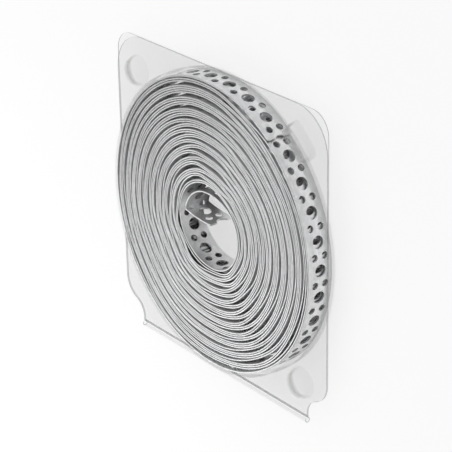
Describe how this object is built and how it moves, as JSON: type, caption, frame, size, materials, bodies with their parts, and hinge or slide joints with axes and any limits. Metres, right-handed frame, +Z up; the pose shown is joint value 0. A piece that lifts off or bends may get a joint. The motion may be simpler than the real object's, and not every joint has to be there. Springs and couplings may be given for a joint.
{
  "type": "perforated steel strap",
  "caption": "Flat coil of galvanised perforated fixing strap with a punched row of large and paired small holes, shut in a clear folding pack.",
  "frame": {"origin": "on the coil's axis, at the back face of the pack, which rests on the floor", "axes": "+Z up along the coil's axis, out of the pack's front face; +X along the fold; -Y towards the fold"},
  "size_m": [0.1312, 0.1337, 0.013],
  "materials": {
    "zinc_steel": "galvanised, bright and slightly dull",
    "clear_sheet": "clear thermoformed sheet"
  },
  "bodies": {
    "pack_base": {"pack_back": "clear_sheet", "strap_coil": "zinc_steel"},
    "pack_lid": {"pack_front": "clear_sheet"}
  },
  "joints": [
    {"name": "pack_fold", "type": "hinge", "parent": "pack_base", "child": "pack_lid", "pos_m": [0, -0.06686, 0.0065], "axis": [1, 0, 0], "range_deg": [0, 180]}
  ]
}
